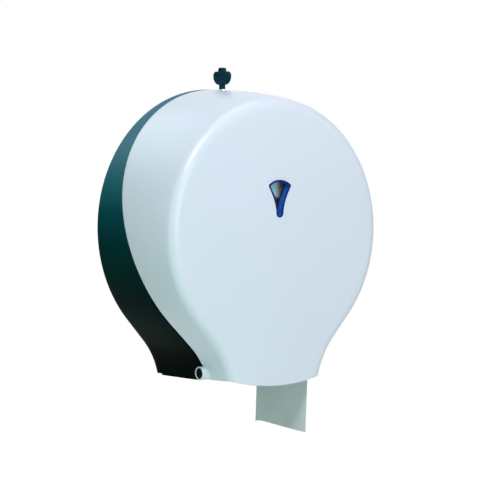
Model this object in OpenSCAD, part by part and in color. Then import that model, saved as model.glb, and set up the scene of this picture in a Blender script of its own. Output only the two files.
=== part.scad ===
// Wall-hung dispenser for one jumbo toilet roll: a dark rear housing, a white hinged cover that locks at
// the top, a free-spinning core hub on a spindle, and an open paper outlet at the bottom.
// Origin: centre of the wall screw pattern on the wall plane. +X right, +Y into the wall, +Z up.

/* [Case] */
// Radius of the round upper part of the case, at the wall
case_r = 137.5; // [125:0.5:160]
// How far the middle of the front face stands out past its edge
dome_h = 2; // [1:0.5:14]
// Radius of the rounded rim round the front face
rim_r = 9; // [5:0.5:14]
// How much smaller the outline is at the front than at the wall, on each side
side_taper = 8.4; // [2:0.2:12]
// How far the front of the case sits lower than its back
front_drop = 3; // [0:0.5:6]
// Wall thickness of the cover and of the housing's sides
wall_t = 2.5; // [2:0.1:3.4]
// Thickness of the housing's back plate
plate_t = 3; // [2.5:0.1:4]

/* [Neck] */
// Angle below the horizontal at which the round side turns into the straight shoulder
shoulder_angle = 42; // [36:1:48]
// Length of the straight shoulder
shoulder_len = 31; // [26:0.5:36]
// Radius of the hollow curve between the shoulder and the bottom edge
neck_r = 76; // [66:1:90]
// Height of the spindle axis above the bottom edge of the cover's sides
case_drop = 148.5; // [144:0.5:152]
// How far the front face's bottom edge bows down past that
front_bow = 6.8; // [3:0.2:10]
// How far the housing's side walls reach below the cover's sides
housing_step = 1.5; // [0:0.1:2.5]

/* [Seam] */
// Depth of the housing at the top of the case
seam_top = 8.5; // [8:0.5:16]
// How far in front of the hinge axis the housing's edge lies there
seam_past = 1; // [0:0.5:3]
// How far the seam sways from a straight slant
seam_sway = 3.1; // [0:0.1:6]
// Gap between the cover's edge and the housing's edge
seam_gap = 0.6; // [0.4:0.1:1.2]
// Length of the housing's inner lip inside the cover
lip_len = 4; // [2:0.5:5]
// Thickness of that lip
lip_t = 1.6; // [1.2:0.1:2]
// Clearance between the lip and the cover's inside
lip_gap = 0.9; // [0.6:0.1:1.5]

/* [Hinge] */
// Distance of the hinge axis from the wall
hinge_depth = 78; // [74:0.5:84]
// Height of the hinge axis above the bottom edge of the cover's sides
hinge_rise = 6.5; // [6:0.1:8]
// Outer radius of the cover's hinge barrels
barrel_r = 6.6; // [6:0.1:7]
// How far the barrels' open ends stand out from the cover's inside
barrel_out = 9.9; // [9:0.1:13]
// Radius of the hollow in the barrels' open ends
barrel_hollow_r = 5.4; // [4.8:0.1:5.6]
// Depth of that hollow
barrel_hollow_l = 4.5; // [3:0.5:5]
// Radius of the hinge pins
hinge_pin_r = 3.95; // [3:0.05:4.2]
// Thickness of the hinge pins' heads, which lie in that hollow
pin_head_t = 3.4; // [2:0.1:3.6]
// Clearance of a turning shaft in its hole, on the radius
run_gap = 0.05; // [0.02:0.01:0.1]
// Thickness of the housing's hinge ears
ear_t = 3.5; // [3:0.1:4]
// Gap between the ears and the cover's inside
ear_gap = 3.2; // [2.6:0.1:4]
// How far the ears reach forward from the webs behind them to the hinge axis
ear_clear = 12; // [11:0.5:14]
// Room in the housing's wall round the cover's hinge barrels
notch_room = 2; // [1.8:0.1:3]

/* [Wall screws] */
// Distance between the wall screws across
screw_span_x = 130; // [100:1:160]
// Distance between the wall screws up and down
screw_span_z = 120; // [100:1:150]
// Radius of the wall screw holes
wall_hole_r = 2.75; // [2:0.25:3.5]
// Radius of the raised pads round the wall screw holes
wall_pad_r = 8; // [6:0.5:12]
// Height of those pads above the back plate
wall_pad_h = 2.5; // [1:0.5:4]

/* [Paper] */
// Room between the paper roll and the round part of the case
roll_room = 29.5; // [22:0.5:60]
// Width of the paper
paper_w = 88; // [80:1:90]
// Distance from the wall to the near side of the roll
roll_back = 18; // [17.5:0.5:20]
// Room between the roll and the edge of the front face
front_room = 8; // [8:0.5:20]
// Inner radius of the cardboard core
core_r = 30; // [25:0.5:38]
// Thickness of the cardboard core
core_t = 1.5; // [1:0.1:2.5]
// Clearance of a soft piece from its neighbours
soft_gap = 0.3; // [0.2:0.05:0.5]
// Thickness of the paper tail
tail_t = 0.4; // [0.3:0.05:0.8]
// Distance from the hinge ears to the tail, where it leaves the outlet
tail_gap = 1.9; // [1.9:0.1:10]
// How far the tail's free end hangs below the bottom edge of the cover's sides
tail_hang = 56; // [30:1:80]
// How far the tail's free end swings in towards the middle
tail_lean = 3; // [0:0.5:6]
// How much nearer to the middle the tail's front edge hangs than its rear edge
tail_twist = 6; // [0:0.5:8]

/* [Spindle] */
// Radius of the spindle's shaft
spindle_r = 8; // [6:0.5:10]
// Radius of the spindle's fixing flange
flange_r = 27; // [22:1:32]
// Thickness of the fixing flange
flange_t = 4; // [3:0.5:5]
// Radius of the shoulder that the friction washer lies against
collar_r = 13; // [11:0.5:16]
// Thickness of the friction washer
friction_t = 1.2; // [0.8:0.1:2]
// Number of screws that hold the spindle
spindle_screw_n = 3; // [3:1:6]
// Radius of the circle that those screws lie on
spindle_screw_pcd_r = 20; // [18:0.5:24]
// Radius of the small screws' shanks
small_screw_r = 1.75; // [1.5:0.05:2]
// Radius of the small screws' heads
small_head_r = 3.2; // [2.8:0.1:3.6]
// Height of the small screws' heads
small_head_h = 1.8; // [1.4:0.1:2.4]
// Outer radius of the core hub's flange
hub_flange_r = 44; // [38:1:60]
// Thickness of the core hub's flange
hub_flange_t = 3; // [2:0.5:4]
// Thickness of the core hub's inner sleeve
hub_sleeve_t = 3; // [2:0.5:4]
// Number of fins that carry the cardboard core
hub_fin_n = 6; // [4:1:10]
// Thickness of those fins
hub_fin_t = 2.4; // [1.6:0.2:4]
// How far the hub's sleeve reaches past the fins at the front
hub_nose = 1; // [1:0.5:5]
// Radius of the retaining washer
retainer_r = 12; // [11.5:0.5:14]
// Thickness of the retaining washer
retainer_t = 1.6; // [1:0.2:2.4]
// Radius of the end screw's shank
end_screw_r = 2.5; // [2:0.1:3]
// Radius of the end screw's head
end_head_r = 5; // [4:0.2:6]
// Height of the end screw's head
end_head_h = 2; // [1.6:0.2:3]
// Length of the end screw in the spindle
end_screw_l = 16; // [10:1:24]
// Play of the hub along the spindle at each end
end_play = 0.3; // [0.2:0.05:0.5]

/* [Lock] */
// Distance of the lock's axis from the wall
lock_depth = 23; // [23:0.5:28]
// Radius of the lock sleeve in the cover
sleeve_r = 7; // [6.5:0.1:7.5]
// Radius of the lock sleeve's rim on top of the cover
sleeve_rim_r = 8.2; // [8:0.1:9]
// Height of that rim
sleeve_rim_h = 0.6; // [0.6:0.1:1.5]
// Length of the lock sleeve below its rim
sleeve_l = 13; // [12.5:0.5:14]
// Radius of the cover's boss round the lock
lock_boss_r = 10; // [9:0.5:11]
// Thickness of the cover at that boss
lock_boss_t = 5.5; // [5:0.5:6]
// Thickness of the lock nut
nut_t = 3.5; // [3:0.5:4]
// Radius of the lock nut over its corners
nut_r = 10.5; // [9.5:0.5:11]
// Radius of the lock plug
plug_r = 5; // [4.6:0.1:5.4]
// Radius of the lock plug's head
plug_head_r = 6; // [5.8:0.1:6.2]
// Height of the lock plug's head
plug_head_h = 1.6; // [1:0.1:2]
// Depth of the hole that the key goes into
keyhole_l = 10; // [8:0.5:11]
// Radius of the key's shank
key_shank_r = 3.2; // [2.6:0.1:3.4]
// Clearance of the key in its hole, on the radius
key_gap = 0.1; // [0.05:0.01:0.2]
// Width of the slot that splits the key's shank
key_slot_w = 1.8; // [1.2:0.1:2.4]
// Height of the bare shank between the cover and the key's head
key_neck = 4.6; // [4:0.2:8]
// Width of the key's head
key_w = 24; // [16:0.5:26]
// Height of the key's head
key_h = 14; // [10:0.2:16]
// Thickness of the key's head
key_t = 5.6; // [4:0.2:7]
// Depth of the dish in each face of the key's head
key_dish = 0.9; // [0.4:0.1:1.5]
// Outer radius of the keyring eyelet
eyelet_r = 2.7; // [2.2:0.1:3.4]
// Radius of the hole in the eyelet
eyelet_hole_r = 1.4; // [1:0.1:1.8]
// Width of the eyelet
eyelet_w = 7; // [5:0.5:9]
// How far the key slides out
key_travel = 28; // [12:1:40]
// Thickness of the lock's cam
cam_t = 2.4; // [2:0.1:3]
// Length of the cam's finger from the lock's axis
cam_l = 13; // [12:0.5:14]
// Width of the cam's finger
cam_w = 6; // [5:0.5:6.5]
// Thickness of the catch
catch_t = 2.4; // [1.6:0.2:3]
// Width of the catch
catch_w = 10; // [8:0.5:12]
// Distance from the lock's axis to the near side of the catch
catch_side = 7; // [5.5:0.5:8]
// Clearance between the cam's finger and the catch
catch_gap = 1.2; // [0.8:0.1:2]
// Height of the catch's plate on the housing
catch_plate_h = 20; // [16:1:26]

/* [Window] */
// Height of the window's middle above the spindle axis
window_z = 29; // [24:0.5:34]
// Height of the window
window_h = 37; // [30:0.5:42]
// Width of the window at its shoulders
window_w = 29; // [22:0.5:34]
// Width of the window near its tip
window_tip_w = 8.5; // [6:0.5:12]
// How far the window stands out of the cover
window_proud = 0.7; // [0.3:0.1:1.2]
// Depth of the window's pane behind its front edge
window_depth = 8; // [6:0.5:9]
// Wall thickness of the window insert
window_t = 1.8; // [1.4:0.1:2.4]
// Width of the flange that holds the window behind the cover
window_flange = 2; // [1.5:0.5:3]
// Thickness of that flange
window_flange_t = 1.5; // [1:0.1:2]
// Thickness of the ring that clamps the flange
retainer_ring_t = 2; // [1.5:0.1:2.5]
// Clearance of pieces that are set into each other
set_gap = 0.15; // [0.1:0.01:0.25]

/* [Tear blades] */
// Thickness of the tear blades
blade_t = 1.1; // [0.8:0.1:1.1]
// Height of the tear blades
blade_h = 7; // [5:0.5:8]
// Depth of the teeth
tooth_h = 1.8; // [1:0.1:2.5]
// Distance from tooth to tooth
tooth_pitch = 4; // [3:0.5:6]
// Distance from the wall to the near end of the blades
blade_back = 10; // [8:1:16]
// How far short of the ears' front the blades end
blade_short = 0.5; // [0.5:0.5:6]

/* [Hidden] */
$fn = 96;
eps = 0.01;

// Points along each stretch of the outline
arc_steps = 22;
shoulder_steps = 3;
neck_steps = 7;
floor_steps = 7;
// How far the walls run past the bottom edge before they are trimmed
trim = 14;
// Depth over which the housing's bottom edge keeps level with the cover's
back_step = 8;

roll_r = case_r - roll_room;
roll_front = roll_back + paper_w;
// Depth of the case from the wall to the edge of its front face
case_depth = roll_front + front_room;
seam_bottom = hinge_depth + seam_past;

function lerp(a, b, t) = a + (b - a) * t;
function clamp(v) = max(0, min(1, v));

// Outline of the case at the wall, right half from the top down: [x, z, outward x, outward z]
shoulder_start = case_r * [cos(shoulder_angle), -sin(shoulder_angle)];
shoulder_end = shoulder_start - shoulder_len * [sin(shoulder_angle), cos(shoulder_angle)];
neck_centre = shoulder_end + neck_r * [cos(shoulder_angle), -sin(shoulder_angle)];
trim_z = min(neck_centre[1], -case_drop - front_bow) - trim;
half_outline = concat(
    [for (i = [0:arc_steps]) let (a = lerp(90, -shoulder_angle, i / arc_steps))
        [case_r * cos(a), case_r * sin(a), cos(a), sin(a)]],
    [for (i = [1:shoulder_steps]) let (p = lerp(shoulder_start, shoulder_end, i / shoulder_steps))
        [p[0], p[1], cos(shoulder_angle), -sin(shoulder_angle)]],
    [for (i = [1:neck_steps]) let (a = lerp(180 - shoulder_angle, 180, i / neck_steps))
        [neck_centre[0] + neck_r * cos(a), neck_centre[1] + neck_r * sin(a), -cos(a), -sin(a)]],
    [[neck_centre[0] - neck_r, trim_z, 1, -1]]
);

// Half width of the neck at a height, at the wall
function neck_x(z) = neck_centre[0] - sqrt(pow(neck_r, 2) - pow(neck_centre[1] - z, 2));
// How far the sides have drawn in at a depth
function taper(d) = side_taper * pow(d / case_depth, 3);
// How far the outline has sunk at a depth
function drop(d) = front_drop * d / case_depth;
// Depth of the front face at a distance from its middle
front_r = case_r - side_taper - rim_r;
function front_depth(r) = case_depth + dome_h * (1 - pow(r / front_r, 2));

hinge_z = hinge_rise - case_drop;
// Inner face of the cover's side at the hinge, and the ears and barrels that follow it
hinge_wall_x = neck_x(hinge_z) - taper(hinge_depth) - wall_t;
ear_x = hinge_wall_x - ear_gap - ear_t;
ear_end = ear_x + ear_t;
barrel_end = hinge_wall_x + barrel_out;
function seam(z) =
    let (u = clamp((case_r - z) / (case_r - hinge_z)))
    lerp(seam_top, seam_bottom, u) + seam_sway * (sin(180 * u) - sin(360 * u));

function place(p, d, inset) = [p[0] - p[2] * inset, -d, p[1] - p[3] * inset - drop(d)];
// A closed ring from the right half of it, rounded at the bottom, where it is trimmed off
function ring(right) =
    let (last = right[len(right) - 1])
    concat(
        right,
        [for (j = [1:floor_steps - 1]) let (a = 180 * j / floor_steps)
            [last[0] * cos(a), last[1], last[2] - last[0] * sin(a)]],
        [for (i = [len(right) - 1:-1:1]) [-right[i][0], right[i][1], right[i][2]]]
    );
function dome_ring(t, wall) =
    ring([for (p = half_outline) let (q = place(p, case_depth, side_taper + rim_r))
        [q[0] * t, wall - case_depth - dome_h * (1 - t * t), q[2] * t]]);
function rim_ring(a, wall) =
    let (d = case_depth - rim_r + (rim_r - wall) * cos(a))
    ring([for (p = half_outline) place(p, d, taper(d) + rim_r - (rim_r - wall) * sin(a))]);
// A ring that lies a share s of the way from the rim to the cover's edge
function cover_ring(s, wall) =
    ring([for (p = half_outline)
        let (d = lerp(case_depth - rim_r, seam(p[1]) + seam_gap, s)) place(p, d, taper(d) + wall)]);
// A ring that lies at a share s of the housing's depth, plus a step
function housing_ring(s, step, wall) =
    ring([for (p = half_outline) let (d = seam(p[1]) * s + step) place(p, d, taper(d) + wall)]);
// A ring of the housing's inside, at most back from the seam and not past a share of its depth
function inner_ring(back, share, wall) =
    ring([for (p = half_outline)
        let (d = seam(p[1]) - min(back, (seam(p[1]) - plate_t) * share)) place(p, d, taper(d) + wall)]);

// A solid through rings of equal length, capped at both ends, with the same facets on its left and right.
// The rings of a strip run out along one face and back along the other.
module skin(rings, strip = false) {
    n = len(rings[0]);
    m = len(rings);
    function at(k, i) = k * n + i % n;
    function cap(k) = strip
        ? [for (i = [0:n / 2 - 2]) each
            [[at(k, i), at(k, i + 1), at(k, n - 2 - i)], [at(k, i), at(k, n - 2 - i), at(k, n - 1 - i)]]]
        : [[for (i = [0:n - 1]) at(k, i)]];
    polyhedron(
        points = [for (r = rings) each r],
        faces = concat(
            cap(0),
            [for (k = [0:m - 2]) for (i = [0:n - 1]) each (i < n / 2
                ? [[at(k, i), at(k + 1, i), at(k + 1, i + 1)], [at(k, i), at(k + 1, i + 1), at(k, i + 1)]]
                : [[at(k, i), at(k + 1, i), at(k, i + 1)], [at(k + 1, i), at(k + 1, i + 1), at(k, i + 1)]])],
            [for (f = cap(m - 1)) [for (i = [len(f) - 1:-1:0]) f[i]]]
        ),
        convexity = 8
    );
}

// Solids drawn in X and Z, from one depth to another
module along_y(d0, d1) {
    translate([0, -d0, 0]) rotate([90, 0, 0]) linear_extrude(d1 - d0) children();
}
// Solids drawn in Y and Z, from one x to another
module along_x(x0, x1) {
    translate([x0, 0, 0]) rotate([90, 0, 90]) linear_extrude(x1 - x0) children();
}
// A round shaft along Y about the spindle axis
module shaft(d0, d1, r) {
    along_y(d0, d1) circle(r);
}
// A round shaft along X about the hinge axis
module hinge_shaft(x0, x1, r) {
    along_x(x0, x1) translate([-hinge_depth, hinge_z]) circle(r);
}
module both_sides() {
    for (side = [0, 1]) mirror([side, 0, 0]) children();
}

wide = 2 * case_r;
full_depth = case_depth + dome_h + trim;

// ---- Rear housing ----
lip_wall = wall_t + lip_gap;
web_depth = hinge_depth - ear_clear;
ear_r = hinge_rise;
wall_holes = [for (i = [-1, 1]) for (j = [-1, 1]) [i * screw_span_x / 2, j * screw_span_z / 2]];
spindle_holes = [for (i = [0:spindle_screw_n - 1])
    spindle_screw_pcd_r * [cos(90 + 360 * i / spindle_screw_n), sin(90 + 360 * i / spindle_screw_n)]];
thread_l = plate_t - 0.6;

module housing_skin() {
    difference() {
        skin([
            ring([for (p = half_outline) place(p, plate_t, wall_t)]),
            inner_ring(5, 0.67, wall_t),
            inner_ring(2, 0.33, lip_wall + lip_t),
            housing_ring(1, lip_len, lip_wall + lip_t),
            housing_ring(1, lip_len, lip_wall),
            housing_ring(1, 0, lip_wall),
            housing_ring(1, 0, 0),
            housing_ring(0.5, 0, 0),
            housing_ring(0, 0, 0)
        ]);
        housing_trim();
    }
}
// Trims the bottom edge, which steps down just in front of the wall
module housing_trim() {
    along_y(-trim, full_depth)
        translate([-wide, -case_drop - housing_step - wide]) square([2 * wide, wide]);
    along_y(-trim, back_step)
        translate([-wide, -case_drop - wide]) square([2 * wide, wide]);
}
// Room round the cover's hinge barrel, open below for the corner of the cover that swings back under it
notch_r = max(barrel_r + notch_room, 1.3 * hinge_rise);
module hinge_notch() {
    hinge_shaft(ear_x - ear_t, wide, notch_r);
    along_x(ear_x - ear_t, wide) translate([-hinge_depth - notch_r, hinge_z - wide])
        square([2 * notch_r, wide]);
}
// The web stands behind the ear, inside the side wall, and the ear reaches forward from it
module hinge_ear() {
    ear_top = hinge_z + ear_r + 1;
    ear_low = hinge_z - ear_r;
    web_side = [for (i = [0:4]) let (z = lerp(ear_low, ear_top, i / 4))
        [neck_x(z) - taper(web_depth) - wall_t / 2, z]];
    along_y(plate_t / 2, web_depth)
        polygon(concat([[ear_x, ear_top], [ear_x, ear_low]], web_side));
    along_x(ear_x, ear_end) {
        translate([-hinge_depth, hinge_z]) circle(ear_r);
        translate([-hinge_depth, hinge_z - ear_r]) square([ear_clear + 1, 2 * ear_r]);
    }
}
module rear_housing() {
    color([0.04, 0.20, 0.19]) difference() {
        union() {
            difference() {
                housing_skin();
                both_sides() hinge_notch();
                // Break in the lip for the cover's lock boss
                along_y(seam_top + eps, lock_depth)
                    translate([-lock_boss_r - 2, case_r - lip_wall - 2 * lip_t - 1])
                        square([2 * lock_boss_r + 4, 2 * lip_t + 1.6]);
            }
            both_sides() hinge_ear();
            for (p = wall_holes) along_y(plate_t / 2, plate_t + wall_pad_h) translate(p) circle(wall_pad_r);
        }
        for (p = wall_holes) along_y(-1, plate_t + wall_pad_h + 1) translate(p) circle(wall_hole_r);
        for (p = spindle_holes) along_y(plate_t - thread_l, plate_t + 1) translate(p)
            circle(small_screw_r + run_gap);
        for (p = catch_holes) along_y(plate_t - thread_l, plate_t + 1) translate(p)
            circle(small_screw_r + run_gap);
        both_sides() {
            hinge_shaft(ear_x - 1, ear_end + 1, hinge_pin_r + run_gap);
            for (p = blade_holes) along_x(ear_x - 1, ear_x + blade_screw_l) translate(p)
                circle(small_screw_r + run_gap);
        }
    }
}

// ---- Front cover ----
barrel_start = hinge_wall_x - 1;
lock_top = case_r - taper(lock_depth) - drop(lock_depth);
boss_low = lock_top - lock_boss_t;
rim_low = lock_top - sleeve_rim_h / 2;

// Trims the cover's bottom edge, straight at the sides and bowed in front
module cover_trim() {
    half_w = neck_x(-case_drop) - side_taper;
    bow_r = (pow(half_w, 2) + pow(front_bow, 2)) / (2 * front_bow);
    along_y(0, full_depth) difference() {
        translate([-wide, -case_drop - wide]) square([2 * wide, wide]);
        translate([0, bow_r - case_drop - front_bow]) circle(bow_r);
    }
}
module cover_skin() {
    skin(concat(
        [for (t = [0.06, 0.3, 0.5, 0.7, 0.86, 0.95, 1]) dome_ring(t, 0)],
        [for (a = [30, 60, 90]) rim_ring(a, 0)],
        [for (s = [0.35, 0.7, 1]) cover_ring(s, 0)],
        [for (s = [1, 0.5]) cover_ring(s, wall_t)],
        [for (a = [90, 45]) rim_ring(a, wall_t)],
        [for (t = [1, 0.8, 0.55, 0.3, 0.06]) dome_ring(t, wall_t)]
    ));
}
module at_lock(z) {
    translate([0, -lock_depth, z]) children();
}
module front_cover() {
    color([0.88, 0.92, 0.94]) difference() {
        union() {
            difference() {
                cover_skin();
                cover_trim();
            }
            both_sides() hinge_shaft(barrel_start, barrel_end, barrel_r);
            at_lock(boss_low) cylinder(r = lock_boss_r, h = lock_boss_t - wall_t / 2);
        }
        both_sides() {
            hinge_shaft(barrel_start - 1, barrel_end, hinge_pin_r + run_gap);
            hinge_shaft(barrel_end - barrel_hollow_l, barrel_end + 1, barrel_hollow_r);
        }
        at_lock(boss_low - 1) cylinder(r = sleeve_r + set_gap, h = lock_boss_t + 2);
        at_lock(rim_low) cylinder(r = sleeve_rim_r + set_gap, h = lock_boss_t);
        along_y(case_depth / 2, full_depth) window_shape(set_gap);
    }
}

// ---- Window ----
window_low = window_z - window_h / 2;
window_front = front_depth(window_z) + window_proud;
flange_reach = [window_w / 2, window_z + window_h / 2 + front_drop] + 2 * window_flange * [1, 1];
flange_front = front_depth(norm(flange_reach)) - wall_t - set_gap;
flange_back = flange_front - window_flange_t;

// Tapered window outline, grown by g all round
module window_shape(g) {
    tip = window_tip_w / 2;
    half_w = window_w / 2;
    rise = window_h / 7;
    top_r = (pow(half_w, 2) + pow(rise, 2)) / (2 * rise);
    side_h = window_h - rise - tip;
    edge = half_w + g;
    spread = asin(edge / (top_r + g));
    steps = 8;
    translate([0, window_low]) polygon(concat(
        [for (i = [0:steps]) (tip + g) * [sin(lerp(0, 90, i / steps)), -cos(lerp(0, 90, i / steps))]
            + [0, tip]],
        [for (i = [1:steps - 1]) [lerp(tip, half_w, pow(i / steps, 1.7)) + g, tip + side_h * i / steps]],
        [for (i = [0:2 * steps]) let (a = lerp(spread, -spread, i / (2 * steps)))
            [(top_r + g) * sin(a), window_h - top_r + (top_r + g) * cos(a)]],
        [for (i = [steps - 1:-1:1]) [-lerp(tip, half_w, pow(i / steps, 1.7)) - g, tip + side_h * i / steps]],
        [for (i = [steps:-1:1]) (tip + g) * [-sin(lerp(0, 90, i / steps)), -cos(lerp(0, 90, i / steps))]
            + [0, tip]]
    ));
}
module window_lens() {
    color([0.05, 0.25, 0.75, 0.6]) difference() {
        union() {
            along_y(window_front - window_depth, window_front) window_shape(0);
            along_y(flange_back, flange_front) window_shape(window_flange);
        }
        along_y(window_front - window_depth + window_t, window_front + 1) window_shape(-window_t);
    }
}
module window_retainer() {
    color([0.85, 0.88, 0.9]) difference() {
        along_y(flange_back - retainer_ring_t, flange_front) window_shape(2 * window_flange);
        along_y(flange_back, flange_front + 1) window_shape(window_flange + set_gap);
        along_y(flange_back - retainer_ring_t - 1, flange_front + 1) window_shape(set_gap);
    }
}

// ---- Hinge pins ----
module hinge_pin() {
    head_x = barrel_end - barrel_hollow_l + end_play;
    hinge_shaft(ear_x, head_x + pin_head_t / 2, hinge_pin_r);
    hinge_shaft(head_x, head_x + pin_head_t, barrel_hollow_r - run_gap);
}
module hinge_pin_right() {
    color([0.02, 0.02, 0.02]) hinge_pin();
}
module hinge_pin_left() {
    color([0.02, 0.02, 0.02]) mirror([1, 0, 0]) hinge_pin();
}

// ---- Lock ----
plug_top = lock_top + sleeve_rim_h / 2;
sleeve_low = rim_low - sleeve_l;
plug_low = sleeve_low - end_play;
cam_low = plug_low - cam_t;
cam_screw_l = 5;

module lock_sleeve() {
    color([0.80, 0.84, 0.86]) difference() {
        union() {
            at_lock(sleeve_low) cylinder(r = sleeve_r, h = sleeve_l);
            at_lock(rim_low) cylinder(r = sleeve_rim_r, h = sleeve_rim_h);
        }
        at_lock(sleeve_low - 1) cylinder(r = plug_r + run_gap, h = sleeve_l + sleeve_rim_h + 2);
        at_lock(plug_top - plug_head_h - run_gap) cylinder(r = plug_head_r + run_gap, h = 2 * plug_head_h);
    }
}
module lock_nut() {
    color([0.7, 0.72, 0.74]) difference() {
        at_lock(boss_low - nut_t) cylinder(r = nut_r, h = nut_t, $fn = 6);
        at_lock(boss_low - nut_t - 1) cylinder(r = sleeve_r + run_gap, h = nut_t + 2);
    }
}
module lock_plug() {
    color([0.80, 0.84, 0.86]) difference() {
        union() {
            at_lock(plug_low) cylinder(r = plug_r, h = plug_top - plug_low);
            at_lock(plug_top - plug_head_h) cylinder(r = plug_head_r, h = plug_head_h);
        }
        at_lock(plug_top - keyhole_l) cylinder(r = key_shank_r + key_gap, h = keyhole_l + 1);
        at_lock(plug_low - 1) cylinder(r = small_screw_r + run_gap, h = cam_screw_l + 1 - cam_t / 2);
    }
}
module lock_cam() {
    color([0.7, 0.72, 0.74]) difference() {
        at_lock(cam_low) {
            cylinder(r = plug_r, h = cam_t);
            translate([-cam_w / 2, 0, 0]) cube([cam_w, cam_l - cam_w / 2, cam_t]);
            translate([0, cam_l - cam_w / 2, 0]) cylinder(r = cam_w / 2, h = cam_t);
        }
        at_lock(cam_low - 1) cylinder(r = small_screw_r + run_gap, h = cam_t + 2);
    }
}
module cam_screw() {
    color([0.7, 0.72, 0.74]) at_lock(cam_low) {
        translate([0, 0, -small_head_h]) cylinder(r = small_head_r, h = small_head_h);
        cylinder(r = small_screw_r, h = cam_screw_l);
    }
}

// ---- Key ----
key_low = plug_top - keyhole_l + end_play;
head_low = plug_top + key_neck;
shoulder_h = key_h * 0.66;

// Shield-shaped head: it swells up from the shank and rounds over at the shoulders; g shrinks it
module key_head_shape(g) {
    steps = 8;
    half_w = key_w / 2 - g;
    foot = max(0.5, key_shank_r - g);
    top = key_h - g;
    side = concat(
        [for (i = [0:steps]) let (a = 90 * i / steps) [lerp(foot, half_w, sin(a)), lerp(g, shoulder_h, 1 - cos(a))]],
        [for (i = [1:steps]) let (a = 90 * i / steps)
            [half_w * lerp(1, 0.62, 1 - cos(a)), lerp(shoulder_h, top, sin(a))]]
    );
    polygon(concat(side, [for (i = [len(side) - 1:-1:0]) [-side[i][0], side[i][1]]]));
}
module key() {
    color([0.03, 0.20, 0.25]) translate([0, -lock_depth, 0]) difference() {
        union() {
            translate([0, 0, key_low]) cylinder(r = key_shank_r, h = head_low + 1 - key_low);
            along_x(-key_t / 2, key_t / 2) translate([0, head_low]) key_head_shape(0);
            along_x(-eyelet_w / 2, eyelet_w / 2)
                translate([0, head_low + key_h + eyelet_r / 3]) circle(eyelet_r);
        }
        for (side = [-1, 1]) along_x(side * key_t / 2 - key_dish, side * key_t / 2 + key_dish)
            translate([0, head_low]) key_head_shape(key_w / 8);
        along_x(-eyelet_w, eyelet_w)
            translate([0, head_low + key_h + eyelet_r / 3]) circle(eyelet_hole_r);
        translate([-key_shank_r - 1, -key_slot_w / 2, key_low - 1])
            cube([2 * key_shank_r + 2, key_slot_w, head_low - key_low + 0.6]);
    }
}

// ---- Catch ----
catch_top = cam_low - catch_gap;
catch_x = -catch_side - catch_w;
catch_front = lock_depth + cam_w / 2 + catch_gap + catch_t;
catch_holes = [for (i = [0.35, 0.75]) [catch_x + catch_w / 2, catch_top - catch_t - catch_plate_h * i]];

module lock_catch() {
    color([0.7, 0.72, 0.74]) difference() {
        union() {
            along_y(plate_t, plate_t + catch_t) translate([catch_x, catch_top - catch_t - catch_plate_h])
                square([catch_w, catch_plate_h + catch_t]);
            along_y(plate_t, catch_front) translate([catch_x, catch_top - catch_t]) square([catch_w, catch_t]);
            along_y(catch_front - catch_t, catch_front) translate([catch_x, catch_top - catch_t])
                square([catch_w, 2 * catch_t + catch_gap]);
        }
        for (p = catch_holes) along_y(0, wide) translate(p) circle(small_screw_r + run_gap);
    }
}
// A screw through a piece of thickness t that lies on the back plate
module plate_screw(p, t) {
    along_y(plate_t - thread_l + 0.2, plate_t + t) translate(p) circle(small_screw_r);
    along_y(plate_t + t, plate_t + t + small_head_h) translate(p) circle(small_head_r);
}
module catch_screws() {
    color([0.7, 0.72, 0.74]) for (p = catch_holes) plate_screw(p, catch_t);
}

// ---- Spindle and hub ----
hub_back = roll_back - soft_gap - hub_flange_t;
friction_back = hub_back - end_play - friction_t;
fin_front = roll_front - 2;
hub_front = fin_front + hub_nose;
spindle_front = hub_front + end_play;
hub_sleeve_r = spindle_r + run_gap + hub_sleeve_t;
fin_root = hub_sleeve_r - hub_sleeve_t / 2;

module spindle() {
    color([0.10, 0.26, 0.25]) difference() {
        union() {
            shaft(plate_t, plate_t + flange_t, flange_r);
            shaft(plate_t, friction_back, collar_r);
            shaft(plate_t, spindle_front, spindle_r);
        }
        shaft(spindle_front - end_screw_l, spindle_front + 1, end_screw_r + run_gap);
        for (p = spindle_holes) along_y(plate_t - 1, plate_t + flange_t + 1) translate(p)
            circle(small_screw_r + run_gap);
    }
}
module spindle_screws() {
    color([0.7, 0.72, 0.74]) for (p = spindle_holes) plate_screw(p, flange_t);
}
module friction_washer() {
    color([0.8, 0.78, 0.7]) difference() {
        shaft(friction_back, friction_back + friction_t, collar_r);
        shaft(0, wide, spindle_r + run_gap);
    }
}
module core_hub() {
    color([0.10, 0.26, 0.25]) difference() {
        union() {
            shaft(hub_back, hub_back + hub_flange_t, hub_flange_r);
            shaft(hub_back, hub_front, hub_sleeve_r);
            for (i = [0:hub_fin_n - 1]) rotate([0, 360 * i / hub_fin_n, 0])
                along_y(hub_back + hub_flange_t / 2, fin_front) translate([fin_root, -hub_fin_t / 2])
                    square([core_r - soft_gap - fin_root, hub_fin_t]);
        }
        shaft(0, wide, spindle_r + run_gap);
    }
}
module retaining_washer() {
    color([0.7, 0.72, 0.74]) difference() {
        shaft(spindle_front, spindle_front + retainer_t, retainer_r);
        shaft(0, wide, end_screw_r + run_gap);
    }
}
module end_screw() {
    color([0.7, 0.72, 0.74]) {
        shaft(spindle_front - end_screw_l + 1, spindle_front + retainer_t, end_screw_r);
        shaft(spindle_front + retainer_t, spindle_front + retainer_t + end_head_h, end_head_r);
    }
}

// ---- Paper ----
paper_r = core_r + core_t;
bend = 18;
bend_z = -case_drop + blade_h + bend * 0.75;
tail_x = ear_x - tail_gap;

module roll_core() {
    color([0.72, 0.60, 0.45]) difference() {
        shaft(roll_back, roll_front, paper_r);
        shaft(0, wide, core_r);
    }
}
module paper_roll() {
    color([0.93, 0.94, 0.92]) difference() {
        shaft(roll_back, roll_front, roll_r);
        shaft(0, wide, paper_r + run_gap);
    }
}

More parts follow.
